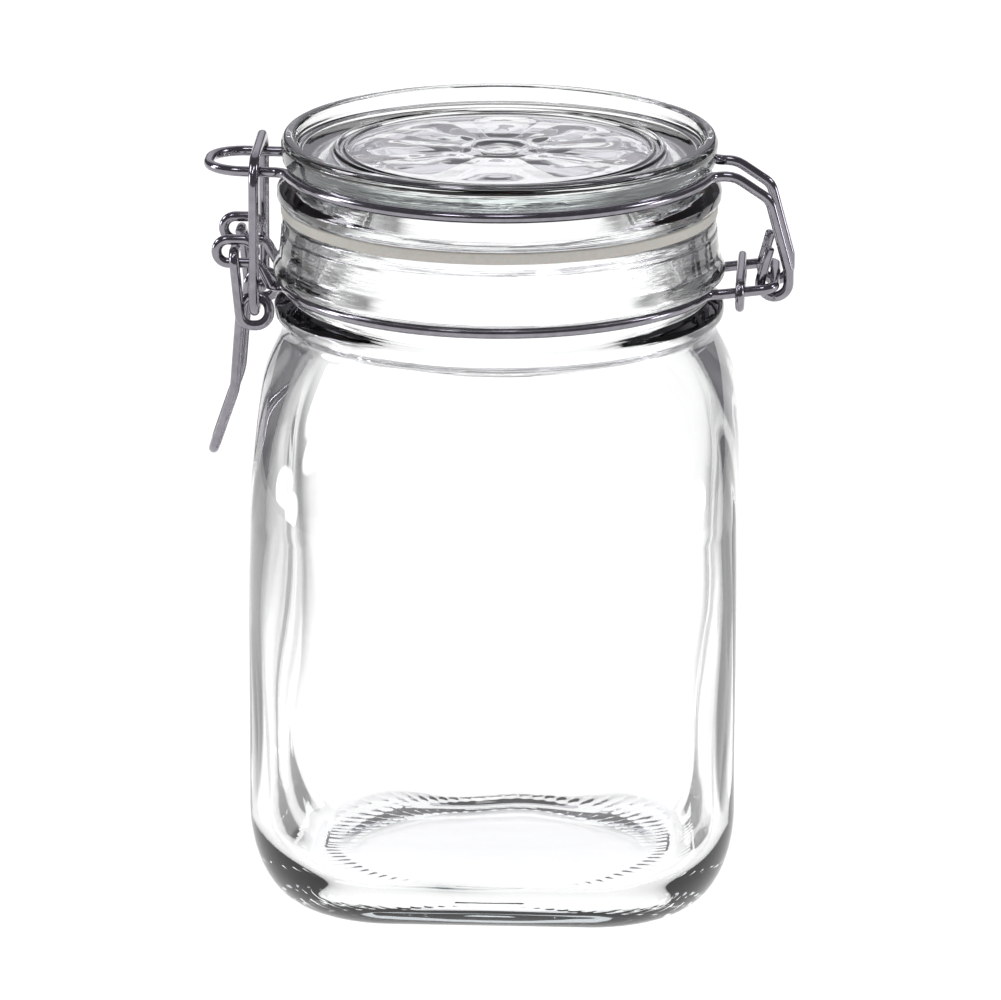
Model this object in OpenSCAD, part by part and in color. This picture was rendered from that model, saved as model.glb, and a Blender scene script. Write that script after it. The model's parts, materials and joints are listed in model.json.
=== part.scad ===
// Square glass storage jar with a glass lid, a rubber gasket and a swing-over wire closure.
// +Z is up, the origin is on the jar's axis at the table, the lid hinges at +X and latches at -X.

/* [Jar body] */
// Width across two opposite flats of the body
body_w = 108; // [100:1:130]
// Radius of the upright corners
corner_r = 25; // [20:1:32]
// Height from the table to the foot of the neck
foot_z = 128; // [100:1:200]
// Height over which the shoulder falls from the neck to the side walls
shoulder_h = 37; // [30:1:45]
// Fullness of the shoulder, from a straight cone at 1 to a round arch at 2
shoulder_full = 1.2; // [1:0.1:2]
// Thickness of the side walls
wall = 3.5; // [2.5:0.1:5]
// Thickness of the floor
floor_t = 6; // [4:0.5:9]
// Radius of the rounding round the outside of the base
heel_r = 14; // [8:0.5:16]
// Depth of the hollow under the base
push_up = 1.5; // [0.5:0.1:2.5]
// Radius of the hollow under the base
push_up_r = 36; // [28:1:38]

/* [Neck] */
// Outer radius of the mouth
neck_r = 48.4; // [40:0.1:49]
// Height from the foot of the neck to the mouth
neck_h = 25.3; // [21:0.1:32]
// Thickness of the glass round the mouth
neck_wall = 5.9; // [4:0.1:8]
// How far the upper bead stands out from the mouth
bead_out = 1.8; // [1:0.1:3]
// Height of the neck wire above the foot of the neck
neck_wire_up = 10; // [8:0.1:12]

/* [Lid and gasket] */
// Height of the lid above the gasket
lid_h = 14.9; // [13:0.1:20]
// Height of the lid wire above the gasket
lid_wire_up = 7.6; // [7:0.1:10]
// Thickness of the lid's middle panel
panel_t = 5.5; // [4:0.1:7]
// Depth of the panel's top below the rim
panel_sink = 3.5; // [2:0.1:5]
// Thickness of the standing rim
rim_t = 3; // [2:0.1:4]
// How far the lid's plug reaches into the mouth
plug_depth = 1; // [0.5:0.1:3]
// Thickness of the plug's wall
plug_t = 3.5; // [2.5:0.1:6]
// Radius of the raised ring on the panel
ring_r = 35.5; // [20:0.5:38]
// Thickness of the gasket
gasket_t = 2.7; // [1.5:0.1:4]

/* [Wires] */
// Diameter of the closure wire
wire_d = 2.3; // [1.8:0.05:2.8]
// Diameter of the tie clip's wire
clip_d = 2; // [1.5:0.1:2.6]
// Bend radius where a wire leaves its ring
tail_bend = 4; // [2.5:0.1:5]
// Bend radius of the other corners
corner_bend = 3.2; // [2.6:0.1:4]

/* [Hinge side] */
// Distance of the hinge axis outside the mouth
hinge_out = 12.85; // [12:0.05:18]
// Height of the hinge axis above the neck wire
hinge_up = 1.5; // [0:0.1:4]
// Half the spacing of the neck wire's rear strands
hinge_half = 12; // [11.5:0.1:16]
// Half the spacing of the lid wire's rear arms
arm_half = 7.5; // [6:0.1:8]
// Height of the free end of each hook above the hinge axis
hook_tip_up = 7.8; // [5:0.1:9]

/* [Latch side] */
// Distance of the lever's pivot outside the mouth
pivot_out = 9.8; // [9:0.1:10]
// Height of the lever's pivot above the neck wire
pivot_up = 7.8; // [6.5:0.1:9]
// Half the spacing of the neck wire's pivot loops
loop_half = 10.4; // [10:0.1:14]
// Half the spacing of the nose strands
nose_half = 9.5; // [7:0.1:10]
// Bend radius of the nose's round end
nose_bend = 8; // [4:0.1:9]
// Reach of the nose outside the mouth
nose_out = 15.95; // [13:0.05:18]
// Depth of the eyes below the lever's pivot
eye_down = 13.2; // [12:0.1:16]
// Depth of the handle's knee below the lever's pivot
knee_down = 31.8; // [26:0.1:36]
// Depth of the handle's tip below the lever's pivot
tip_down = 47.2; // [42:0.1:60]
// Distance of the knee from the jar's side
knee_gap = 4.3; // [3:0.1:8]
// Distance of the handle's tip from the jar's side
tip_gap = 9.6; // [6:0.1:14]

/* [Clearances] */
// Between a wire and the groove that it sits in
wire_fit = 0.05; // [0.02:0.01:0.2]
// Between wires that pass side by side and move
side_gap = 0.3; // [0.15:0.05:0.6]
// Between a pivot pin and the loop round it
pin_gap = 0.35; // [0.2:0.05:0.6]
// Between the hinge bar and the hooks round it
hook_gap = 0.7; // [0.4:0.05:1]
// Between the bail's cross-bar and the nose below it
nose_gap = 1.3; // [1.25:0.05:2]
// Between the bail's pins and the middle of the lever's eyes
eye_play = 0.8; // [0.7:0.05:1.3]
// Between the lever's eyes and the jar's lower bead
eye_gap = 0.35; // [0.2:0.05:1]
// Between the gasket and the mouth
gasket_gap = 0.1; // [0.05:0.05:0.4]
// Between the lid's plug and the mouth's bore
plug_gap = 1.5; // [1:0.1:3]

/* [Hidden] */
$fn = 48;
wire_sides = 16;                              // sides of the polygon that stands for a round wire
run_gap = 0.1;                                // gap between two runs of wire, inside the ball that joins them
ball_size = 1.04;

over = 1;                                     // how far a cutting solid runs past what it cuts
wire_r = wire_d / 2;
half = body_w / 2;

// Neck and shoulder
foot_r = neck_r - 0.5;
bore_r = neck_r - neck_wall;
bead_r = neck_r + bead_out;
low_bead_r = bead_r - 0.2;
neck_groove_r = neck_r - 1.6;
neck_ring_r = neck_groove_r + wire_fit + wire_r;
mouth_z = foot_z + neck_h;
neck_wire_z = foot_z + neck_wire_up;
bead_z = neck_wire_z + wire_r + wire_fit;     // underside of the upper bead
low_bead_z = neck_wire_z - wire_r - 2.4;      // top of the lower bead
arch_r = (half - corner_r) * sqrt(2) + corner_r + 3.4;
arch_steps = 9;
inner_drop = 2;                               // how much lower the shoulder's inner face lies

// Lid and gasket
gasket_z = mouth_z + gasket_gap;
seat_z = gasket_z + gasket_t;
lid_top = seat_z + lid_h;
lid_wire_z = seat_z + lid_wire_up;
rim_r = neck_r - 0.1;
flange_r = neck_r + 0.9;
lid_groove_r = neck_r - 2;
lid_ring_r = lid_groove_r + wire_fit + wire_r;
plug_r = bore_r - plug_gap;
panel_z = lid_top - panel_sink;

// Hinge side
hinge_x = neck_r + hinge_out;
hinge_z = neck_wire_z + hinge_up;
hook_r = wire_d + hook_gap;
arm_in = 1.2;                                 // how far inside the hinge axis each arm turns down
arm_drop = 5.2;                               // how far each arm falls before it turns down
clip_x = hinge_x - 7.5;
clip_h = 5.6;

// Latch side, with x counted outwards from the axis
pivot_x = neck_r + pivot_out;
pivot_z = neck_wire_z + pivot_up;
loop_h = 2 * (wire_d + pin_gap);
loop_front = 3.9;                             // reach of the pivot loop in front of the pin
loop_back = 5.4;                              // where the loop's lower side starts, behind the pin
lever_half = loop_half + wire_d + side_gap;
bail_half = lever_half + wire_d + side_gap;
eye_step = wire_d + 0.1;                      // sideways step of the one full turn in each eye
eye_half = lever_half - eye_step;
eye_r = wire_d + eye_play;
eye_x = sqrt(pow(low_bead_r, 2) - pow(eye_half, 2)) + eye_gap + wire_r + eye_r;
eye_z = pivot_z - eye_down;
bail_pin_z = eye_z + eye_play - side_gap;
nose_x = neck_r + nose_out;
bar_z = lid_wire_z + wire_d + nose_gap;
bail_bend = 6;                                // bend radius of the bail's two upper corners
pin_reach = 2;                                // how far a pin's end passes the loop that it is in

// Radius of a shoulder that leaves r0 at its top and levels out at r1, a distance t below
function arch(r0, r1, t) = r0 + (r1 - r0) * (1 - pow(1 - t / shoulder_h, shoulder_full));

// Distance of the jar's side from the axis at height z on the shoulder
function side_x(z) = min(half, arch(foot_r, arch_r, min(shoulder_h, max(0, foot_z - z))));

function unit(v) = v / norm(v);
function place(p) = [p[0], p[1], p[2]];
function flip_y(p) = [p[0], -p[1], p[2], p[3]];
function reversed(list) = [for (i = [len(list) - 1 : -1 : 0]) list[i]];
// A path for y > 0 joined to its mirror image, which runs back
function both_sides(path) = concat(path, reversed([for (p = path) flip_y(p)]));

// Length that the bend at point i takes from the straight run on either side
function setback(path, i) =
    i == 0 || i == len(path) - 1 ? 0 :
    let (u = unit(place(path[i]) - place(path[i - 1])), w = unit(place(path[i + 1]) - place(path[i])))
    path[i][3] * tan(acos(u * w) / 2);

// A ball that joins two runs of wire, a little larger than the wire so that it closes round both ends
module ball(d) {
    sphere(d = d * ball_size, $fn = wire_sides);
}

module rod(a, b, d) {
    v = b - a;
    translate(a)
        rotate([0, acos(v.z / norm(v)), atan2(v.y, v.x)])
            cylinder(h = norm(v), d = d, $fn = wire_sides);
}

// An arc of wire about Z from angle a to angle b, shortened at both ends, with a ball at each end
module arc(r, a, b, d) {
    trim = run_gap / r * 180 / PI;
    rotate(a + trim)
        rotate_extrude(angle = b - a - 2 * trim)
            translate([r, 0]) circle(d = d, $fn = wire_sides);
    for (end = [a, b]) rotate(end) translate([r, 0, 0]) ball(d);
}

// An arc of radius r that touches the legs a-b and b-c
module bend(a, b, c, r, d) {
    u = unit(b - a);
    w = unit(c - b);
    turn = acos(u * w);
    inward = unit(w - (u * w) * u);
    axis = cross(u, inward);
    centre = b - r * tan(turn / 2) * u + r * inward;
    multmatrix([[-inward.x, u.x, axis.x, centre.x],
                [-inward.y, u.y, axis.y, centre.y],
                [-inward.z, u.z, axis.z, centre.z],
                [0, 0, 0, 1]])
        arc(r, 0, turn, d);
}

// A round wire through points [x, y, z, bend radius]
module wire(path, d) {
    last = len(path) - 1;
    for (i = [0 : last - 1]) {
        a = place(path[i]);
        b = place(path[i + 1]);
        u = unit(b - a);
        start = a + (setback(path, i) + (i == 0 ? 0 : run_gap)) * u;
        end = b - (setback(path, i + 1) + (i + 1 == last ? 0 : run_gap)) * u;
        rod(start, end, d);
    }
    for (i = [1 : 1 : last - 1])
        bend(place(path[i - 1]), place(path[i]), place(path[i + 1]), path[i][3], d);
}

// Distance from the axis at which a wire leaves its ring and runs straight out at y
function tail_x(ring_r, y) = sqrt(pow(ring_r + tail_bend, 2) - pow(y + tail_bend, 2));

// The two halves of a ring round the glass, each bent outwards at its ends to run along X
module ring_halves(ring_r, z, front_y, rear_y) {
    front_x = tail_x(ring_r, front_y);
    rear_x = tail_x(ring_r, rear_y);
    front_a = atan2(front_y + tail_bend, -front_x);
    rear_a = atan2(rear_y + tail_bend, rear_x);
    for (side = [0, 1]) mirror([0, side, 0]) translate([0, 0, z]) {
        arc(ring_r, rear_a, front_a, wire_d);
        translate([-front_x, front_y + tail_bend, 0]) arc(tail_bend, 270, front_a + 180, wire_d);
        translate([rear_x, rear_y + tail_bend, 0]) arc(tail_bend, rear_a + 180, 270, wire_d);
    }
}

// Outline of a wall from its middle out to width w, with its lower outer corner rounded
module heel_profile(w, heel, h) {
    square([w - heel, h]);
    translate([0, heel]) square([w, h - heel]);
    translate([w - heel, heel]) intersection() {
        circle(r = heel);
        translate([0, -heel]) square(heel);
    }
}

// A square block with round upright corners and a rounded lower edge
module rounded_block(half, corner, heel, h) {
    flat = half - corner;
    translate([-flat, -flat, 0]) cube([2 * flat, 2 * flat, h]);
    for (a = [0 : 90 : 270]) rotate(a) translate([flat, flat, 0]) {
        rotate_extrude(angle = 90) heel_profile(corner, heel, h);
        rotate([90, 0, 0]) linear_extrude(2 * flat) heel_profile(corner, heel, h);
    }
}

// Outline of the shoulder from its foot up to the neck, dropped by drop
function shoulder_points(r0, r1, drop) =
    [for (i = [arch_steps : -1 : 0])
        let (t = shoulder_h * i / arch_steps) [arch(r0, r1, t), foot_z - drop - t]];

module jar_body() {
    outer = concat([[0, 0], [arch_r, 0]], shoulder_points(foot_r, arch_r, 0), [
        [low_bead_r - 0.5, foot_z + 1.8],
        [low_bead_r, foot_z + 2.8],
        [low_bead_r, low_bead_z - 0.8],
        [low_bead_r - 0.6, low_bead_z],
        [neck_groove_r, low_bead_z + 0.6],
        [neck_groove_r, bead_z],
        [bead_r - 1, bead_z + 0.3],
        [bead_r, bead_z + 1.2],
        [bead_r, bead_z + 2],
        [bead_r - 0.8, bead_z + 3.2],
        [neck_r, bead_z + 4.4],
        [neck_r, mouth_z - 0.8],
        [neck_r - 0.8, mouth_z],
        [0, mouth_z]]);
    inner = concat([[0, 0], [arch_r - wall, 0]], shoulder_points(bore_r, arch_r - wall, inner_drop), [
        [bore_r, mouth_z + over],
        [0, mouth_z + over]]);
    color([0.86, 0.93, 0.90, 0.45]) difference() {
        intersection() {
            rounded_block(half, corner_r, heel_r, mouth_z + over);
            rotate_extrude($fn = 96) polygon(outer);
        }
        intersection() {
            translate([0, 0, floor_t])
                rounded_block(half - wall, corner_r - wall, heel_r - wall, mouth_z + over);
            rotate_extrude($fn = 96) polygon(inner);
        }
        translate([0, 0, -over])
            cylinder(h = push_up + over, r1 = push_up_r + over, r2 = push_up_r - push_up, $fn = 96);
    }
}

module lid() {
    groove = wire_r + wire_fit;
    color([0.84, 0.92, 0.90, 0.5]) rotate_extrude($fn = 96) polygon([
        [0, panel_z],
        [ring_r - 0.7, panel_z],
        [ring_r - 0.3, panel_z + 0.6],
        [ring_r + 0.3, panel_z + 0.6],
        [ring_r + 0.7, panel_z],
        [rim_r - rim_t - 0.6, panel_z],
        [rim_r - rim_t, panel_z + 0.8],
        [rim_r - rim_t, lid_top - 0.5],
        [rim_r - rim_t + 0.5, lid_top],
        [rim_r - 0.7, lid_top],
        [rim_r, lid_top - 0.9],
        [rim_r, lid_wire_z + groove + 0.5],
        [lid_groove_r, lid_wire_z + groove],
        [lid_groove_r, lid_wire_z - groove],
        [lid_groove_r + 1, lid_wire_z - groove - 1],
        [flange_r - 0.5, seat_z + 4],
        [flange_r, seat_z + 2.8],
        [flange_r, seat_z + 0.9],
        [flange_r - 0.7, seat_z],
        [plug_r, seat_z],
        [plug_r, mouth_z - plug_depth + 0.4],
        [plug_r - 0.5, mouth_z - plug_depth],
        [plug_r - plug_t + 0.5, mouth_z - plug_depth],
        [plug_r - plug_t, mouth_z - plug_depth + 0.6],
        [plug_r - plug_t - 1, panel_z - panel_t - 1],
        [plug_r - plug_t - 2, panel_z - panel_t],
        [0, panel_z - panel_t]]);
}

module gasket() {
    color("gainsboro") translate([0, 0, gasket_z]) difference() {
        cylinder(h = gasket_t, r = neck_r + 0.1, $fn = 96);
        translate([0, 0, -over]) cylinder(h = gasket_t + 2 * over, r = plug_r + 0.3, $fn = 96);
    }
}

// One wire round the neck: a closed U for the hinge behind, and a loop for each lever pin in front
module neck_wire() {
    rear_x = tail_x(neck_ring_r, hinge_half);
    front_x = tail_x(neck_ring_r, loop_half);
    loop_r = loop_h / 2 - 0.05;
    near_x = pivot_x - loop_back;
    far_x = pivot_x + loop_front;
    loop = [
        [-front_x, loop_half, neck_wire_z, 0],
        [-near_x, loop_half, pivot_z - loop_h / 2, 2],
        [-far_x, loop_half, pivot_z - loop_h / 2, loop_r],
        [-far_x, loop_half, pivot_z + loop_h / 2, loop_r],
        [-neck_r - 2.5, loop_half, pivot_z + loop_h / 2, 0]];
    color("silver") {
        ring_halves(neck_ring_r, neck_wire_z, loop_half, hinge_half);
        wire(both_sides([[rear_x, hinge_half, neck_wire_z, 0], [hinge_x, hinge_half, hinge_z, corner_bend]]),
             wire_d);
        wire(loop, wire_d);
        wire([for (p = loop) flip_y(p)], wire_d);
    }
}

// A closed loop round the neck wire's two rear strands
module tie_clip() {
    rear_x = tail_x(neck_ring_r, hinge_half);
    strand_z = neck_wire_z + hinge_up * (clip_x - rear_x) / (hinge_x - rear_x);
    y = hinge_half + wire_r + clip_d / 2 + side_gap;
    top = strand_z + wire_r + clip_d / 2 + wire_fit;
    r = clip_h / 2 - 0.1;
    color("silver")
        wire([[clip_x, 0, top, 0], [clip_x, y, top, r], [clip_x, y, top - clip_h, r],
              [clip_x, -y, top - clip_h, r], [clip_x, -y, top, r], [clip_x, 0, top, 0]], clip_d);
}

// One wire round the lid: a nose in front, and two arms with open hooks round the hinge bar behind
module lid_wire() {
    rear_x = tail_x(lid_ring_r, arm_half);
    front_x = tail_x(lid_ring_r, nose_half);
    arm = [
        [rear_x, arm_half, lid_wire_z, 0],
        [rear_x + 2, arm_half, lid_wire_z, 6],
        [hinge_x - arm_in, arm_half, lid_wire_z - arm_drop, corner_bend + 0.8],
        [hinge_x + hook_r + 0.1, arm_half, hinge_z + 3, 3],
        [hinge_x + hook_r + 0.1, arm_half, hinge_z - hook_r, hook_r + 0.2],
        [hinge_x - hook_r - 1.1, arm_half, hinge_z - hook_r, hook_r + 0.2],
        [hinge_x - 1.2, arm_half, hinge_z + hook_tip_up, 0]];
    color("silver") {
        ring_halves(lid_ring_r, lid_wire_z, nose_half, arm_half);
        wire(both_sides([[-front_x, nose_half, lid_wire_z, 0],
                         [-nose_x, nose_half, lid_wire_z, min(nose_bend, nose_half - 0.3)]]), wire_d);
        wire(arm, wire_d);
        wire([for (p = arm) flip_y(p)], wire_d);
    }
}

// A loop over the nose, with its two ends turned inwards through the lever's eyes
module bail() {
    color("silver") wire(both_sides([
        [-eye_x, eye_half - wire_r - pin_reach, bail_pin_z, 0],
        [-eye_x, bail_half, bail_pin_z, 2.4],
        [-eye_x, bail_half, bar_z, bail_bend]]), wire_d);
}

// Pins through the neck wire's loops, an eye of one full turn on each side, and a handle that joins them
module lever() {
    turn_r = eye_r * 0.9;
    knee_x = max(side_x(pivot_z - knee_down) + knee_gap, eye_x + eye_r);
    tip_x = side_x(pivot_z - tip_down) + tip_gap;
    color("silver") wire(both_sides([
        [-pivot_x, loop_half - wire_r - pin_reach, pivot_z, 0],
        [-pivot_x, lever_half, pivot_z, 2.4],
        [-eye_x - eye_r, lever_half, eye_z - eye_r, turn_r],
        [-eye_x + eye_r, lever_half - eye_step / 3, eye_z - eye_r, turn_r],
        [-eye_x + eye_r, lever_half - eye_step * 2 / 3, eye_z + eye_r, turn_r],
        [-eye_x - eye_r, eye_half, eye_z + eye_r, turn_r],
        [-knee_x, eye_half - 1.2, pivot_z - knee_down, 12],
        [-tip_x, eye_half - 3.4, pivot_z - tip_down, 5]]), wire_d);
}

jar_body();
lid();
gasket();
neck_wire();
tie_clip();
lid_wire();
bail();
lever();
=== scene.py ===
import json
import math

import bpy
import numpy as np
from mathutils import Matrix, Vector


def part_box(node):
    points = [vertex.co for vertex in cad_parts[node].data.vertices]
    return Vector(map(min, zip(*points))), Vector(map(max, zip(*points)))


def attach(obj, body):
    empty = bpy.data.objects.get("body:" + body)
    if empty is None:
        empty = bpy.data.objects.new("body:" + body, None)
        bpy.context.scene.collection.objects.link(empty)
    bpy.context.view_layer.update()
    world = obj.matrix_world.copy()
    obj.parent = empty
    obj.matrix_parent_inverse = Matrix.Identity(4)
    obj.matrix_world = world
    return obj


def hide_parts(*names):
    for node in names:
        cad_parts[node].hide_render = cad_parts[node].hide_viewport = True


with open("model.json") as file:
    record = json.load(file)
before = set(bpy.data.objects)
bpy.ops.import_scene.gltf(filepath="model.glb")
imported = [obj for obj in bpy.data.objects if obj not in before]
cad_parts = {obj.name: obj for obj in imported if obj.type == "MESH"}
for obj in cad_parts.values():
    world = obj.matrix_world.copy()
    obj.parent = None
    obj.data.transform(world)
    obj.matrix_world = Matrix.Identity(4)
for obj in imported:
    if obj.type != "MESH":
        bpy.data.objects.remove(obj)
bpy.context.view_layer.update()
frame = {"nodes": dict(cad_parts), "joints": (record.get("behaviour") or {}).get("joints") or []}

mm = 0.001
scene = bpy.context.scene
print("frame loaded:", ", ".join(sorted(frame["nodes"])))


def smoothMesh(name, verts, faces):
    # a mesh object at the origin with every face shaded smooth
    mesh = bpy.data.meshes.new(name)
    mesh.from_pydata(verts.tolist(), [], faces)
    mesh.polygons.foreach_set("use_smooth", np.ones(len(mesh.polygons), dtype=bool))
    mesh.update()
    piece = bpy.data.objects.new(name, mesh)
    scene.collection.objects.link(piece)
    return piece


def ringQuads(rings, around, first=0):
    # quads between neighbouring rings of a grid whose columns close round
    i = np.arange(rings - 1)[:, None] * around + first
    j = np.arange(around)[None, :]
    k = (j + 1) % around
    quads = np.stack([i + j, i + k, i + around + k, i + around + j], axis=-1)
    return quads.reshape(-1, 4).tolist()


def turnedShell(name, grid, startPole, endPole):
    # a closed shell: a grid of rings, each end closed by a fan onto one pole point
    rings, around = grid.shape[:2]
    verts = np.concatenate([grid.reshape(-1, 3), [startPole], [endPole]])
    faces = ringQuads(rings, around)
    j = np.arange(around)
    k = (j + 1) % around
    last = (rings - 1) * around
    foot, top = rings * around, rings * around + 1
    faces += np.stack([np.full(around, foot), k, j], axis=1).tolist()
    faces += np.stack([last + j, last + k, np.full(around, top)], axis=1).tolist()
    return smoothMesh(name, verts * mm, faces)


def closedRing(name, grid):
    # a ring whose profile closes on itself: the last row of the grid joins the first
    rings, around = grid.shape[:2]
    faces = ringQuads(rings + 1, around)
    count = rings * around
    faces = (np.array(faces) % count).tolist()
    return smoothMesh(name, grid.reshape(-1, 3) * mm, faces)


def roundedProfile(corners, step):
    # an open outline through (r, z, radius) corners: each corner is an arc that touches both its legs
    pts = [np.array(corners[0][:2], float)]
    for a, b, c in zip(corners, corners[1:], corners[2:]):
        a, p, c, r = np.array(a[:2], float), np.array(b[:2], float), np.array(c[:2], float), b[2]
        u, w = (p - a) / np.linalg.norm(p - a), (c - p) / np.linalg.norm(c - p)
        turn = math.acos(max(-1.0, min(1.0, float(u @ w))))
        if r <= 0 or turn < 0.01:
            pts.append(p)
            continue
        back = min(r * math.tan(turn / 2), 0.49 * np.linalg.norm(p - a), 0.49 * np.linalg.norm(c - p))
        r = back / math.tan(turn / 2)
        inward = w - (u @ w) * u
        inward /= np.linalg.norm(inward)
        centre = p - back * u + r * inward
        count = max(3, int(math.ceil(turn / 0.3)))
        for t in np.linspace(0, turn, count):
            pts.append(centre + r * (math.sin(t) * u - math.cos(t) * inward))
    pts.append(np.array(corners[-1][:2], float))
    out = [pts[0]]
    for a, b in zip(pts, pts[1:]):
        pieces = max(1, int(math.ceil(np.linalg.norm(b - a) / step)))
        out += [a + (b - a) * i / pieces for i in range(1, pieces + 1)]
    return np.array(out)


def softMin(a, b, k):
    # the smaller of two radii, with the crease between them rounded off over about k
    low = np.minimum(a, b)
    return low - k * np.log(np.exp(-(a - low) / k) + np.exp(-(b - low) / k))


def squareRadius(turn, half, corner):
    # distance from the axis to a square with round corners, at each angle
    c, s = np.abs(np.cos(turn)), np.abs(np.sin(turn))
    big, small = np.maximum(c, s), np.minimum(c, s)
    flat = half - corner
    onFlat = half / big
    dot = flat * (big + small)
    onCorner = dot + np.sqrt(np.maximum(dot ** 2 - 2 * flat ** 2 + corner ** 2, 0))
    return np.where(onFlat * small <= flat, onFlat, onCorner)


def bentPath(corners):
    # corners are (x, y, z, radius): straight runs joined by arcs that touch them
    pts = [np.array(corners[0][:3], float)]
    for a, b, c in zip(corners, corners[1:], corners[2:]):
        a, p, c, r = np.array(a[:3], float), np.array(b[:3], float), np.array(c[:3], float), b[3]
        u, w = (p - a) / np.linalg.norm(p - a), (c - p) / np.linalg.norm(c - p)
        turn = math.acos(max(-1.0, min(1.0, float(u @ w))))
        if turn < 0.005:
            continue
        inward = w - (u @ w) * u
        inward /= np.linalg.norm(inward)
        start = p - r * math.tan(turn / 2) * u
        centre = start + r * inward
        for t in np.linspace(0, turn, max(4, int(turn / 0.14))):
            pts.append(centre + r * (math.sin(t) * u - math.cos(t) * inward))
    pts.append(np.array(corners[-1][:3], float))
    out = [pts[0]]
    for a, b in zip(pts, pts[1:]):
        length = np.linalg.norm(b - a)
        if length > 1e-4:
            pieces = max(1, int(length / 3))
            out += [a + (b - a) * i / pieces for i in range(1, pieces + 1)]
    return np.array(out)


def steelWire(name, path, radius, sides=20, closed=False):
    # a round section carried along a path, kept from twisting by turning it only as the path turns
    path = np.asarray(path, float)
    ahead = np.roll(path, -1, axis=0) - np.roll(path, 1, axis=0)
    if not closed:
        ahead[0], ahead[-1] = path[1] - path[0], path[-1] - path[-2]
    ahead /= np.linalg.norm(ahead, axis=1)[:, None]
    side = np.cross(ahead[0], [0.31, 0.2, 0.93])
    side /= np.linalg.norm(side)
    sidesAlong = [side]
    for t in ahead[1:]:
        side = side - (side @ t) * t
        side /= np.linalg.norm(side)
        sidesAlong.append(side)
    across = np.array(sidesAlong)
    up = np.cross(ahead, across)
    turn = np.linspace(0, 2 * math.pi, sides, endpoint=False)
    section = np.cos(turn)[None, :, None] * across[:, None] + np.sin(turn)[None, :, None] * up[:, None]
    if closed:
        return closedRing(name, path[:, None] + radius * section)
    edge = np.array([1.0, 0.96, 0.85, 0.62, 0.3])
    push = np.array([0.0, 0.16, 0.3, 0.42, 0.5])  # a softly sheared end
    tip = 0.52  # how far the end's middle stands out, in radii
    startPush = (push[::-1, None] * radius * ahead[0])[:, None]
    endPush = (push[:, None] * radius * ahead[-1])[:, None]
    startRings = path[0] - startPush + radius * edge[::-1, None, None] * section[0]
    endRings = path[-1] + endPush + radius * edge[:, None, None] * section[-1]
    along = path[1:-1, None] + radius * section[1:-1]
    grid = np.concatenate([startRings, along, endRings])
    return turnedShell(name, grid, path[0] - tip * radius * ahead[0], path[-1] + tip * radius * ahead[-1])


def mirrored(corners):
    # a list of corners for y > 0, joined to its mirror image, which runs back
    return corners + [(x, -y, z, r) for x, y, z, r in reversed(corners)]


def tailStart(ringR, y, bendR):
    # how far along X a bend that touches both the ring and a tail at y has its centre
    return math.sqrt((ringR + bendR) ** 2 - (y + bendR) ** 2)


def ringArc(ringR, z, frontY, rearY, bendR, side):
    # half a ring from its rear tail round to its front tail, with a bend out to each tail
    frontX, rearX = tailStart(ringR, frontY, bendR), tailStart(ringR, rearY, bendR)
    rearTurn = math.atan2(rearY + bendR, rearX)
    frontTurn = math.atan2(frontY + bendR, -frontX)
    out = np.linspace(1.5 * math.pi, rearTurn + math.pi, 9)
    rear = np.stack([rearX + bendR * np.cos(out), rearY + bendR + bendR * np.sin(out)], axis=1)
    ring = np.linspace(rearTurn, frontTurn, 90)[1:-1]
    middle = ringR * np.stack([np.cos(ring), np.sin(ring)], axis=1)
    back = np.linspace(frontTurn + math.pi, 1.5 * math.pi, 9)
    front = np.stack([-frontX + bendR * np.cos(back), frontY + bendR + bendR * np.sin(back)], axis=1)
    flat = np.concatenate([rear, middle, front])
    return np.column_stack([flat[:, 0], side * flat[:, 1], np.full(len(flat), z)])


jointAt = {joint["name"]: [value / mm for value in joint["pos_m"]] for joint in frame["joints"]}
wire = {"radius": 1.15, "ringBend": 4.0, "corner": 3.2, "pinIn": 3.15, "pinBend": 2.4}
# where the wires turn in each other: the rear bar, the lever's pins in their loops, the bail's in their eyes
turnAt = {
    "hingeX": jointAt["lid_hinge"][0], "hingeZ": jointAt["lid_hinge"][2],
    "pivotX": -jointAt["lever_hinge"][0], "pivotZ": jointAt["lever_hinge"][2],
    "eyeX": -jointAt["bail_hinge"][0], "pinZ": jointAt["bail_hinge"][2],
    "loopHalf": 10.4, "eyeHalf": 10.6,
}


neckWireShape = {"ringR": 48.0, "z": 138.0, "hingeHalf": 12.0, "loopBack": 5.4, "loopFront": 3.9,
                 "loopRise": 2.65, "loopBend": 2.6, "footBend": 2.0, "endBack": 0.7, "endLean": 0.9,
                 "endUp": 2.2}


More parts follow.
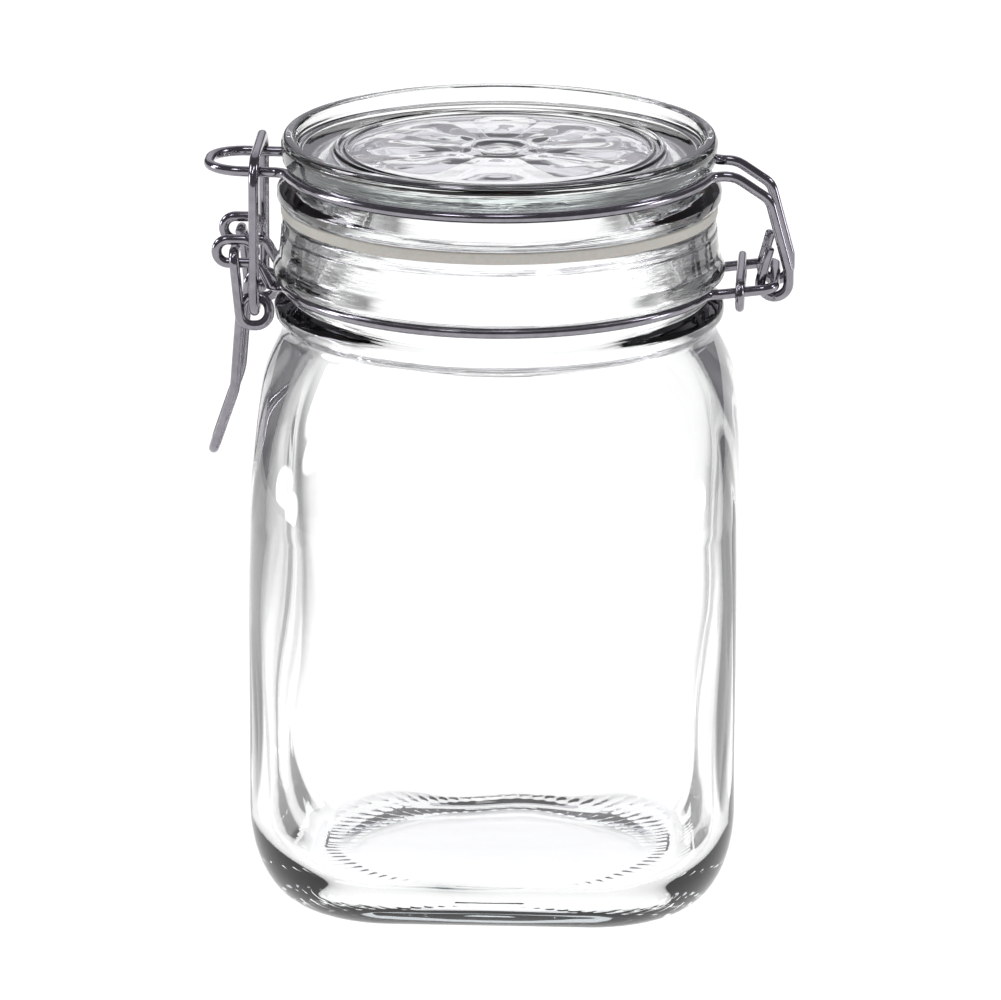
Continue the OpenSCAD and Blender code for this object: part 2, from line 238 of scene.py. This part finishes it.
def makeNeckWire():
    # round the neck, out behind into the hinge bar, and out in front into a loop on each side
    s, t, w = neckWireShape, turnAt, wire
    rearX = tailStart(s["ringR"], s["hingeHalf"], w["ringBend"])
    frontX = tailStart(s["ringR"], t["loopHalf"], w["ringBend"])
    nearX, farX = t["pivotX"] - s["loopBack"], t["pivotX"] + s["loopFront"]
    low, high = t["pivotZ"] - s["loopRise"], t["pivotZ"] + s["loopRise"]
    y, bend = t["loopHalf"], s["loopBend"]
    loop = bentPath([(-frontX, y, s["z"], 0), (-nearX, y, low, s["footBend"]), (-farX, y, low, bend),
                     (-farX, y, high, bend), (-nearX - s["endBack"], y, high, bend),
                     (-nearX - s["endLean"], y, low + s["endUp"], 0)])
    hinge = bentPath(mirrored([(rearX, s["hingeHalf"], s["z"], 0),
                               (t["hingeX"], s["hingeHalf"], t["hingeZ"], w["corner"])]))
    right = ringArc(s["ringR"], s["z"], t["loopHalf"], s["hingeHalf"], w["ringBend"], 1)
    left = right * [1, -1, 1]
    leftLoop = loop * [1, -1, 1]
    path = np.concatenate([loop[::-1], right[::-1][1:], hinge[1:-1], left, leftLoop[1:]])
    return steelWire("neckWireSteel", path, w["radius"])


tieClipShape = {"radius": 1.0, "bend": 2.7}


def makeTieClip():
    # a flat closed loop round both rear strands, as tall and wide as its frame piece
    s = tieClipShape
    lo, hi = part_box("tie_clip")
    x = (lo.x + hi.x) / 2 / mm
    y = hi.y / mm - s["radius"]
    low, high = lo.z / mm + s["radius"], hi.z / mm - s["radius"]
    path = bentPath([(x, 0, high, 0), (x, y, high, s["bend"]), (x, y, low, s["bend"]),
                     (x, -y, low, s["bend"]), (x, -y, high, s["bend"]), (x, 0, high, 0)])
    return steelWire("tieClipSteel", path[:-1], s["radius"], closed=True)


lidWireShape = {"ringR": 47.6, "z": 163.7, "noseX": -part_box("lid_wire")[0].x / mm - 1.15, "noseHalf": 9.5,
                "noseBend": 8.0, "noseUp": 0.25, "armHalf": 7.5, "armOut": 2, "armBend": 6, "armIn": 1.2,
                "armDrop": 5.2, "hookR": 3.0, "hookPlay": 0.1, "hookTail": 7.8}


def makeLidWire():
    # round the lid, out in front into the nose, and down behind into an open hook on each side
    s, t, w = lidWireShape, turnAt, wire
    rearX = tailStart(s["ringR"], s["armHalf"], w["ringBend"])
    frontX = tailStart(s["ringR"], s["noseHalf"], w["ringBend"])
    y, z = s["armHalf"], s["z"]
    hookX, hookZ = t["hingeX"] + s["hookR"] + s["hookPlay"], t["hingeZ"] - s["hookR"]
    hookBend = s["hookR"] + 0.2
    arm = bentPath([(rearX, y, z, 0), (rearX + s["armOut"], y, z, s["armBend"]),
                    (t["hingeX"] - s["armIn"], y, z - s["armDrop"], w["corner"] + 0.8),
                    (hookX, y, t["hingeZ"] + 3, 3), (hookX, y, hookZ, hookBend),
                    (t["hingeX"] - s["hookR"] - 1.1, y, hookZ, hookBend),
                    (t["hingeX"] - 1.2, y, t["hingeZ"] + s["hookTail"], 0)])
    nose = bentPath(mirrored([(-frontX, s["noseHalf"], z, 0),
                              (-s["noseX"], s["noseHalf"], z + s["noseUp"], s["noseBend"])]))
    right = ringArc(s["ringR"], z, s["noseHalf"], s["armHalf"], w["ringBend"], 1)
    left = right * [1, -1, 1]
    path = np.concatenate([arm[::-1], right[1:], nose[1:-1], left[::-1], (arm * [1, -1, 1])[1:]])
    return steelWire("lidWireSteel", path, w["radius"])


bailShape = {"half": 15.6, "bend": 6.0, "barZ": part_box("bail")[1].z / mm - 1.15}


def makeBail():
    # from one eye out to the side, up, over the nose and down to the other eye
    s, t, w = bailShape, turnAt, wire
    path = bentPath(mirrored([(-t["eyeX"], t["eyeHalf"] - w["pinIn"], t["pinZ"], 0),
                              (-t["eyeX"], s["half"], t["pinZ"], w["pinBend"]),
                              (-t["eyeX"], s["half"], s["barZ"], s["bend"])]))
    return steelWire("bailSteel", path, w["radius"])


leverShape = {"half": 13.0, "eyeR": 3.1, "eyeDown": 0.5, "eyeRound": 0.96, "knee": (58.3, 31.8),
              "kneeBend": 12, "kneeIn": 1.2, "tip": (63.6, 47.2), "tipBend": 5, "tipIn": 3.4}


def makeLever():
    # a pin in each loop, one full turn round each of the bail's pins, and a handle that narrows downwards
    s, t, w = leverShape, turnAt, wire
    eyeZ = t["pinZ"] - s["eyeDown"]
    left, right = -t["eyeX"] - s["eyeR"], -t["eyeX"] + s["eyeR"]
    low, high = eyeZ - s["eyeR"], eyeZ + s["eyeR"]
    step = (s["half"] - t["eyeHalf"]) / 3
    r = s["eyeR"] * s["eyeRound"]
    path = bentPath(mirrored([
        (-t["pivotX"], t["loopHalf"] - w["pinIn"], t["pivotZ"], 0),
        (-t["pivotX"], s["half"], t["pivotZ"], w["pinBend"]),
        (left, s["half"], low, r), (right, s["half"] - step, low, r),
        (right, s["half"] - 2 * step, high, r), (left, t["eyeHalf"], high, r),
        (-s["knee"][0], t["eyeHalf"] - s["kneeIn"], t["pivotZ"] - s["knee"][1], s["kneeBend"]),
        (-s["tip"][0], t["eyeHalf"] - s["tipIn"], t["pivotZ"] - s["tip"][1], s["tipBend"])]))
    return steelWire("leverSteel", path, w["radius"])


body = {
    "half": 54.0, "corner": 27.0, "heelOut": 14.0, "heelUp": 24.0, "heelCorner": 0.55, "shoulderH": 37.0,
    "full": 1.2, "footZ": 128.0, "footR": 47.9, "archR": 68.0, "blend": 3.2, "fade": 40.0, "wall": 3.5,
    "floor": 6.0, "innerHeelOut": 14, "innerHeelUp": 18, "boreR": 42.5, "mouthZ": 153.3, "around": 480,
    "stipples": 80, "stippleH": 0.35, "stippleR": 39.0, "stippleHalf": 2.4, "uneven": (0.22, 0.14, 0.08),
    "underZ": 1.6,
    "underside": [(8, 1.6), (16, 1.5), (23, 1.35), (28, 1.15), (31.5, 0.85), (34, 0.5), (36, 0.15)],
    "bearing": (37.2, 37.8, 38.4, 39.2, 40, 40.8),
    "floorZ": 6.7, "inside": [(30, 6.2), (22, 6.4), (14, 6.6), (7, 6.7)],
}
far = 200.0  # a square this wide never meets its circle, so the ring is round


def circleRow(z, r):
    # a row whose ring is a plain circle
    return (z, far, 10, r)


def shoulderRow(z, r0, r1):
    # the circle's radius: r0 at the neck's foot, r1 a shoulder lower, along a power curve
    t = (body["footZ"] - z) / body["shoulderH"]
    return r0 + (r1 - r0) * (1 - (1 - t) ** body["full"])


def bodyRows():
    # each row is (z, half width, corner radius, circle radius): a ring is the smaller of the two shapes
    b = body
    rows = [circleRow(z, r) for r, z in b["underside"]] + [circleRow(0.0, r) for r in b["bearing"]]
    for t in np.linspace(0, math.pi / 2, 20):
        half = b["half"] - b["heelOut"] * (1 - math.sin(t))
        z = b["heelUp"] * (1 - math.cos(t))
        rows.append((z, half, b["corner"] - b["heelCorner"] * (b["half"] - half), far))
    shoulderZ = b["footZ"] - b["shoulderH"]
    for z in np.linspace(b["heelUp"], shoulderZ, 24)[1:-1]:
        rows.append((z, b["half"], b["corner"], b["archR"] + (shoulderZ - z) ** 2 / b["fade"]))
    for z in np.linspace(shoulderZ, b["footZ"], 22):
        rows.append((z, b["half"], b["corner"], shoulderRow(z, b["footR"], b["archR"])))
    return rows


def neckOutline():
    # the neck's outside, over the mouth and down the bore, with its two beads and the wire's groove
    b = body
    return roundedProfile([
        (b["footR"], b["footZ"], 0), (48.0, 129.0, 1), (50.0, 130.6, 1.2), (50.0, 132.8, 1.2),
        (46.8, 135.2, 1.2),
        (46.8, 139.2, 0.8), (50.0, 139.6, 0.7), (50.3, 141.0, 1.5), (48.9, 144.0, 2), (48.4, 150.0, 1),
        (48.1, 150.3, 0.3), (48.2, b["mouthZ"], 1.0), (45.4, b["mouthZ"], 1), (b["boreR"], b["mouthZ"], 1.0),
        (b["boreR"], b["footZ"], 0)], 0.8)


def innerRows():
    # the inside, from the neck's foot down to the floor, a wall in from the outside
    b = body
    rows = []
    for z in np.linspace(b["footZ"] - 2.5, b["footZ"] - b["shoulderH"] - 2, 20):
        t = (b["footZ"] - 2 - z) / b["shoulderH"]
        r = b["boreR"] + (b["archR"] - b["wall"] - b["boreR"]) * (1 - (1 - min(t, 1)) ** b["full"])
        rows.append((z, b["half"] - b["wall"], b["corner"] - b["wall"], r))
    shoulderZ = b["footZ"] - b["shoulderH"] - 2
    for z in np.linspace(shoulderZ - 1, 26, 24):
        circle = b["archR"] - b["wall"] + (shoulderZ - z) ** 2 / b["fade"]
        rows.append((z, b["half"] - b["wall"], b["corner"] - b["wall"], circle))
    for t in np.linspace(math.pi / 2, 0, 16)[1:]:
        half = b["half"] - b["wall"] - b["innerHeelOut"] * (1 - math.sin(t))
        z = b["floor"] + b["innerHeelUp"] * (1 - math.cos(t))
        rows.append((z, half, b["corner"] - b["wall"] - 0.5 * (b["half"] - b["wall"] - half), far))
    return rows + [circleRow(z, r) for r, z in b["inside"]]


def ringGrid(rows, turn):
    # each ring is the smaller of a round-cornered square and a circle, creases rounded off
    rows = np.array(rows)
    z, half, corner, circle = (rows[:, i, None] for i in range(4))
    radius = softMin(squareRadius(turn[None, :], half, corner), circle, body["blend"])
    radius = np.where(half >= far, circle, radius)
    return np.stack([radius * np.cos(turn), radius * np.sin(turn), z + 0 * radius], axis=-1)


def makeBody():
    # one closed shell: under, up the outside, over the mouth and down the inside to the floor
    b = body
    turn = np.linspace(0, 2 * math.pi, b["around"], endpoint=False)
    outer = ringGrid(bodyRows(), turn)
    neck = neckOutline()[1:-1]
    neckR, neckZ = neck[:, :1], neck[:, 1:]
    neckGrid = np.stack([neckR * np.cos(turn), neckR * np.sin(turn), neckZ + 0 * turn], axis=-1)
    inner = ringGrid(innerRows(), turn)
    # short radial ridges round the bearing ring: the glass rests on their tops
    ring = np.hypot(outer[..., 0], outer[..., 1])
    band = np.clip(1 - np.abs(ring - b["stippleR"]) / b["stippleHalf"], 0, 1) * (outer[..., 2] < 0.01)
    ridge = 0.5 + 0.5 * np.cos(b["stipples"] * turn)[None, :]
    outer[..., 2] += b["stippleH"] * band * (1 - ridge)
    # the inside of blown glass is not quite even
    broad, middling, fine = b["uneven"]
    wave = (broad * np.sin(3 * turn + 0.6)[None, :] * np.sin(inner[..., 2] / 17)
            + middling * np.sin(7 * turn + inner[..., 2] / 23)
            + fine * np.sin(12 * turn + 1.7 + inner[..., 2] / 11))
    inner[..., :2] *= (1 + wave / 50)[..., None]
    grid = np.concatenate([outer, neckGrid, inner])
    return turnedShell("jarGlass", grid, (0, 0, b["underZ"]), (0, 0, b["floorZ"]))


lidShape = {"around": 480, "panelZ": 167.5, "underZ": 162.0, "panelR": 33.0, "petals": 8, "relief": 0.3,
            "petalFrom": 9, "petalTo": 30, "bossR": 6.5, "bossHalf": 1.1, "bossH": 0.45}


def lidOutline():
    # (r, z, radius) corners: the underside, plug, seat, rim with the wire's groove, standing edge and panel
    top, under = lidShape["panelZ"], lidShape["underZ"]
    return roundedProfile([
        (6.0, under, 0), (34.5, under, 1.5), (37.0, 160.5, 1.5), (37.6, 153.0, 0.5), (38.2, 152.3, 0.6),
        (40.4, 152.3, 0.5), (41.0, 153.0, 0.5), (41.0, 156.1, 0.3), (48.6, 156.1, 0.6), (49.3, 157.2, 0.8),
        (49.3, 159.0, 1.5), (47.4, 161.4, 1.5), (46.4, 162.4, 0.6), (46.4, 164.9, 0.6), (48.1, 165.4, 0.5),
        (48.4, 169.4, 1.0), (47.6, 171.0, 0.9), (45.7, 171.0, 0.7), (45.0, 168.8, 1.0), (43.6, top, 1.2),
        (36.9, top, 0.4), (36.4, 168.1, 0.3), (35.8, 168.1, 0.3), (35.3, top, 0.4), (34.7, top, 0.3),
        (34.2, 167.9, 0.3), (33.8, 167.9, 0.3), (33.3, top, 0.3), (3.0, top, 0)], 0.9)


def makeLid():
    # the outline turned about the axis, with the rosette raised on its panel
    s = lidShape
    turn = np.linspace(0, 2 * math.pi, s["around"], endpoint=False)
    line = lidOutline()
    r, z = line[:, :1], line[:, 1:]
    # a plain rosette in low relief: petals between two radii, and a small boss
    height = z + 0 * turn
    onPanel = (z > s["panelZ"] - 0.5) & (r < s["panelR"])
    petal = np.abs(np.cos(s["petals"] / 2 * turn))[None, :]
    reach = np.clip((r - s["petalFrom"]) / 5, 0, 1) * np.clip((s["petalTo"] - r) / 6, 0, 1)
    height = height + onPanel * s["relief"] * np.clip(petal * 1.6 - 0.6, 0, 1) * reach
    height = height + onPanel * s["bossH"] * np.exp(-((r - s["bossR"]) / s["bossHalf"]) ** 2)
    grid = np.stack([r * np.cos(turn), r * np.sin(turn), height], axis=-1)
    return turnedShell("lidGlass", grid, (0, 0, s["underZ"]), (0, 0, s["panelZ"]))


gasketShape = {"boreR": 41.3, "innerEdge": 0.5, "outerEdge": 0.55, "around": 240}


def makeGasket():
    # a flat ring with rounded edges, as thick and wide as its frame piece
    s = gasketShape
    lo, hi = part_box("gasket")
    outR, low, high = hi.x / mm, lo.z / mm, hi.z / mm
    inR, inEdge, outEdge = s["boreR"], s["innerEdge"], s["outerEdge"]
    turn = np.linspace(0, 2 * math.pi, s["around"], endpoint=False)
    line = roundedProfile([(inR, low + 0.6, 0), (inR, low, inEdge), (outR, low, outEdge),
                           (outR, high, outEdge), (inR, high, inEdge), (inR, low + 0.9, 0)], 1.2)[:-1]
    r, z = line[:, :1], line[:, 1:]
    grid = np.stack([r * np.cos(turn), r * np.sin(turn), z + 0 * turn], axis=-1)
    return closedRing("gasketRubber", grid)


print("shapes ready")


def newMaterial(name):
    material = bpy.data.materials.new(name)
    material.use_nodes = True
    tree = material.node_tree
    return material, tree, tree.nodes["Principled BSDF"]


def node(tree, kind, **values):
    # a new node, each value going to the socket or the setting of that name
    made = tree.nodes.new(kind)
    for key, value in values.items():
        if key in made.inputs:
            made.inputs[key].default_value = value
        else:
            setattr(made, key, value)
    return made


def mapped(tree, source, low, high, outLow, outHigh):
    # an even ease from one range of values to another
    made = node(tree, "ShaderNodeMapRange", interpolation_type="SMOOTHSTEP")
    for key, value in (("From Min", low), ("From Max", high), ("To Min", outLow), ("To Max", outHigh)):
        made.inputs[key].default_value = value
    tree.links.new(source, made.inputs["Value"])
    return made.outputs["Result"]


def combined(tree, operation, a, b):
    made = node(tree, "ShaderNodeMath", operation=operation)
    for i, value in enumerate((a, b)):
        if isinstance(value, (int, float)):
            made.inputs[i].default_value = value
        else:
            tree.links.new(value, made.inputs[i])
    return made.outputs["Value"]


def noiseBump(tree, shader, scale, strength, distance, detail=2.0):
    coords = node(tree, "ShaderNodeTexCoord")
    noise = node(tree, "ShaderNodeTexNoise", Scale=scale, Detail=detail)
    bump = node(tree, "ShaderNodeBump", Strength=strength, Distance=distance)
    tree.links.new(coords.outputs["Object"], noise.inputs["Vector"])
    tree.links.new(noise.outputs["Fac"], bump.inputs["Height"])
    tree.links.new(bump.outputs["Normal"], shader.inputs["Normal"])
    return noise


glassLook = {"ior": 1.52, "tint": (0.66, 0.84, 0.75, 1), "density": 5.0, "stretch": 50, "rippleScale": 13.0,
             "rippleStrength": 0.35, "rippleFade": 0.004, "waveHeight": 0.0006, "rippleHeight": 0.0003}


def glassMaterial(name, scale, strength, rippleFrom):
    c = glassLook
    material, tree, shader = newMaterial(name)
    shader.inputs["Base Color"].default_value = (1, 1, 1, 1)
    shader.inputs["Transmission Weight"].default_value = 1.0
    shader.inputs["Roughness"].default_value = 0.0
    shader.inputs["IOR"].default_value = c["ior"]
    # soft waves everywhere, and fine level ripples above a height, as pressed glass has
    coords = node(tree, "ShaderNodeTexCoord")
    waves = node(tree, "ShaderNodeTexNoise", Scale=scale, Detail=2.0)
    stretch = node(tree, "ShaderNodeMapping")
    stretch.inputs["Scale"].default_value = (1, 1, c["stretch"])
    ripples = node(tree, "ShaderNodeTexNoise", Scale=c["rippleScale"], Detail=3.0)
    parts = node(tree, "ShaderNodeSeparateXYZ")
    tree.links.new(coords.outputs["Object"], waves.inputs["Vector"])
    tree.links.new(coords.outputs["Object"], stretch.inputs["Vector"])
    tree.links.new(stretch.outputs["Vector"], ripples.inputs["Vector"])
    tree.links.new(coords.outputs["Object"], parts.inputs["Vector"])
    above = mapped(tree, parts.outputs["Z"], rippleFrom, rippleFrom + c["rippleFade"], 0.0, 1.0)
    first = node(tree, "ShaderNodeBump", Strength=strength, Distance=c["waveHeight"])
    second = node(tree, "ShaderNodeBump", Distance=c["rippleHeight"])
    tree.links.new(waves.outputs["Fac"], first.inputs["Height"])
    tree.links.new(ripples.outputs["Fac"], second.inputs["Height"])
    tree.links.new(combined(tree, "MULTIPLY", above, c["rippleStrength"]), second.inputs["Strength"])
    tree.links.new(first.outputs["Normal"], second.inputs["Normal"])
    tree.links.new(second.outputs["Normal"], shader.inputs["Normal"])
    depth = node(tree, "ShaderNodeVolumeAbsorption", Color=c["tint"], Density=c["density"])
    tree.links.new(depth.outputs["Volume"], tree.nodes["Material Output"].inputs["Volume"])
    return material


rubberLook = {"rough": 0.5, "glow": 0.35, "glowDepth": 0.002, "dark": (0.40, 0.39, 0.36, 1),
              "pale": (0.50, 0.485, 0.45, 1)}


def rubberMaterial():
    c = rubberLook
    material, tree, shader = newMaterial("gasketRubber")
    shader.inputs["Roughness"].default_value = c["rough"]
    shader.inputs["Subsurface Weight"].default_value = c["glow"]
    shader.inputs["Subsurface Scale"].default_value = c["glowDepth"]
    noise = noiseBump(tree, shader, 900, 0.15, 0.0002)
    ramp = node(tree, "ShaderNodeValToRGB")
    ramp.color_ramp.elements[0].color = c["dark"]
    ramp.color_ramp.elements[1].color = c["pale"]
    tree.links.new(noise.outputs["Fac"], ramp.inputs["Fac"])
    tree.links.new(ramp.outputs["Color"], shader.inputs["Base Color"])
    return material


steelLook = {"dark": (0.19, 0.18, 0.205, 1), "pale": (0.34, 0.325, 0.36, 1), "smooth": 0.08, "rough": 0.2}


def steelMaterial():
    c = steelLook
    material, tree, shader = newMaterial("drawnSteel")
    shader.inputs["Metallic"].default_value = 1.0
    noise = noiseBump(tree, shader, 500, 0.05, 0.0002, 4.0)
    tint = node(tree, "ShaderNodeValToRGB")
    tint.color_ramp.elements[0].color = c["dark"]
    tint.color_ramp.elements[1].color = c["pale"]
    rough = node(tree, "ShaderNodeMapRange")
    rough.inputs["To Min"].default_value = c["smooth"]
    rough.inputs["To Max"].default_value = c["rough"]
    tree.links.new(noise.outputs["Fac"], tint.inputs["Fac"])
    tree.links.new(tint.outputs["Color"], shader.inputs["Base Color"])
    tree.links.new(noise.outputs["Fac"], rough.inputs["Value"])
    tree.links.new(rough.outputs["Result"], shader.inputs["Roughness"])
    return material


glass = glassMaterial("clearGlass", 40, 0.12, 0.126)
lidGlassMaterial = glassMaterial("pressedGlass", 70, 0.2, 0.15)
rubber = rubberMaterial()
steel = steelMaterial()
print("materials made")

jar = makeBody()
lid = makeLid()
gasket = makeGasket()
neckWire = makeNeckWire()
tieClip = makeTieClip()
lidWire = makeLidWire()
bail = makeBail()
lever = makeLever()
for piece, cad, bodyName, material, slotName in (
        (jar, "jar_body", "jar", glass, "clear_glass"),
        (lid, "lid", "lid", lidGlassMaterial, "clear_glass"),
        (gasket, "gasket", "lid", rubber, "gasket_rubber"),
        (neckWire, "neck_wire", "jar", steel, "steel_wire"),
        (tieClip, "tie_clip", "jar", steel, "steel_wire"),
        (lidWire, "lid_wire", "lid", steel, "steel_wire"),
        (bail, "bail", "bail", steel, "steel_wire"),
        (lever, "lever", "lever", steel, "steel_wire")):
    piece.data.materials.append(material)
    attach(piece, bodyName)
    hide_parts(cad)
print("pieces made")


table = {"half": 6, "glow": 1.06, "dark": 0.12, "clear": 0.072, "soft": 0.04, "innerFrom": 0.2,
         "innerTo": 0.45, "outerFrom": 2.2, "outerTo": 3.2}


def makeFloor():
    c = table
    half = c["half"]
    mesh = bpy.data.meshes.new("floor")
    corners = [(-half, -half, 0), (half, -half, 0), (half, half, 0), (-half, half, 0)]
    mesh.from_pydata(corners, [], [(0, 1, 2, 3)])
    floor = bpy.data.objects.new("floor", mesh)
    scene.collection.objects.link(floor)
    material, tree, shader = newMaterial("paleFloor")
    shader.inputs["Base Color"].default_value = (0.1, 0.1, 0.1, 1)
    shader.inputs["Roughness"].default_value = 0.9
    shader.inputs["Specular IOR Level"].default_value = 0.0
    shader.inputs["Emission Color"].default_value = (1, 1, 1, 1)
    # a table that glows evenly; light that comes through glass sees a dark flag painted into that glow on
    # each rear diagonal, never straight behind the object from the front, the back or the sides
    coords = node(tree, "ShaderNodeTexCoord")
    parts = node(tree, "ShaderNodeSeparateXYZ")
    path = tree.nodes.new("ShaderNodeLightPath")
    tree.links.new(coords.outputs["Object"], parts.inputs["Vector"])
    aside = combined(tree, "ABSOLUTE", parts.outputs["X"], 0.0)
    ratio = combined(tree, "DIVIDE", aside, combined(tree, "MAXIMUM", parts.outputs["Y"], 0.0001))
    wedge = combined(tree, "MULTIPLY", mapped(tree, ratio, c["innerFrom"], c["innerTo"], 0.0, 1.0),
                     mapped(tree, ratio, c["outerFrom"], c["outerTo"], 1.0, 0.0))
    outside = mapped(tree, aside, c["clear"], c["clear"] + c["soft"], 0.0, 1.0)
    # dark flags painted into the floor's glow as shade, seen only by light that comes through glass
    paintedFlag = combined(tree, "MULTIPLY", wedge, outside)
    paintedFlagThroughGlass = combined(tree, "MULTIPLY", paintedFlag, path.outputs["Is Transmission Ray"])
    lit = combined(tree, "SUBTRACT", 1.0, combined(tree, "MULTIPLY", paintedFlagThroughGlass, 1.0 - c["dark"]))
    tree.links.new(combined(tree, "MULTIPLY", lit, c["glow"]), shader.inputs["Emission Strength"])
    mesh.materials.append(material)


studio = {"through": 1.1, "throughDark": 0.18, "throughFrom": 0.25, "throughTo": 0.6, "topFrom": 0.35,
          "topTo": 0.75, "topDark": 0.3, "mirror": 0.15, "mirrorTint": (0.94, 0.92, 1, 1),
          "boxEdge": 1.3}
# soft boxes that only reflections see: aim turn and rise in degrees, half width, brightness
softBoxes = [(-96, 5, 0.12, 12.0), (-96, 30, 0.12, 12.0), (94, 5, 0.1, 10.0), (94, 35, 0.1, 10.0),
             (-30, 50, 0.09, 9.0), (8, 66, 0.1, 7.0), (180, 35, 0.45, 0.8)]


def makeWorld():
    # three rooms in one: white for the eye and for dull surfaces, bright in front and behind with dark
    # sides for light that comes through glass, and a dark room with soft boxes for mirrors
    c = studio
    world = bpy.data.worlds.new("studio")
    scene.world = world
    world.use_nodes = True
    tree = world.node_tree
    tree.nodes.clear()
    out = tree.nodes.new("ShaderNodeOutputWorld")
    path = tree.nodes.new("ShaderNodeLightPath")
    coords = tree.nodes.new("ShaderNodeTexCoord")
    aim = coords.outputs["Generated"]
    parts = node(tree, "ShaderNodeSeparateXYZ")
    tree.links.new(aim, parts.inputs["Vector"])
    depth = combined(tree, "ABSOLUTE", parts.outputs["Y"], 0.0)
    screen = mapped(tree, depth, c["throughFrom"], c["throughTo"], c["throughDark"], c["through"])
    ceiling = mapped(tree, parts.outputs["Z"], c["topFrom"], c["topTo"], 1.0, c["topDark"])
    through = combined(tree, "MULTIPLY", screen, ceiling)
    mirror = None
    for turn, rise, width, power in softBoxes:
        t, r = math.radians(turn), math.radians(rise)
        dot = node(tree, "ShaderNodeVectorMath", operation="DOT_PRODUCT")
        dot.inputs[1].default_value = (math.sin(t) * math.cos(r), -math.cos(t) * math.cos(r), math.sin(r))
        tree.links.new(aim, dot.inputs[0])
        box = mapped(tree, dot.outputs["Value"], math.cos(width * c["boxEdge"]), math.cos(width),
                     c["mirror"], power)
        mirror = box if mirror is None else combined(tree, "MAXIMUM", mirror, box)
    white = node(tree, "ShaderNodeBackground", Color=(1, 1, 1, 1), Strength=1.0)
    throughLight = node(tree, "ShaderNodeBackground", Color=(1, 1, 1, 1))
    mirrorLight = node(tree, "ShaderNodeBackground", Color=c["mirrorTint"])
    tree.links.new(through, throughLight.inputs["Strength"])
    tree.links.new(mirror, mirrorLight.inputs["Strength"])
    first, second = tree.nodes.new("ShaderNodeMixShader"), tree.nodes.new("ShaderNodeMixShader")
    tree.links.new(path.outputs["Is Transmission Ray"], first.inputs["Fac"])
    tree.links.new(white.outputs["Background"], first.inputs[1])
    tree.links.new(throughLight.outputs["Background"], first.inputs[2])
    tree.links.new(path.outputs["Is Glossy Ray"], second.inputs["Fac"])
    tree.links.new(first.outputs["Shader"], second.inputs[1])
    tree.links.new(mirrorLight.outputs["Background"], second.inputs[2])
    tree.links.new(second.outputs["Shader"], out.inputs["Surface"])


camera = {"distance": 1.95, "elevation": 16.26, "azimuth": 2.8, "aimZ": 0.085, "lens": 313.2,
          "shiftX": 0.0018, "shiftY": 0.0063, "roll": 0.14}


def makeCamera():
    c = camera
    data = bpy.data.cameras.new("camera")
    eye = bpy.data.objects.new("camera", data)
    scene.collection.objects.link(eye)
    a, e = math.radians(c["azimuth"]), math.radians(c["elevation"])
    back = Vector((math.sin(a) * math.cos(e), -math.cos(a) * math.cos(e), math.sin(e)))
    aim = Vector((0, 0, c["aimZ"]))
    turn = (-back).to_track_quat("-Z", "Y").to_matrix() @ Matrix.Rotation(math.radians(c["roll"]), 3, "Z")
    eye.matrix_world = Matrix.Translation(aim + back * c["distance"]) @ turn.to_4x4()
    data.lens = c["lens"]
    data.sensor_width = 36
    data.shift_x, data.shift_y = c["shiftX"], c["shiftY"]
    data.clip_start, data.clip_end = 0.05, 50
    scene.camera = eye


makeFloor()
makeWorld()
makeCamera()
scene.view_settings.view_transform = "Standard"
print("studio ready")
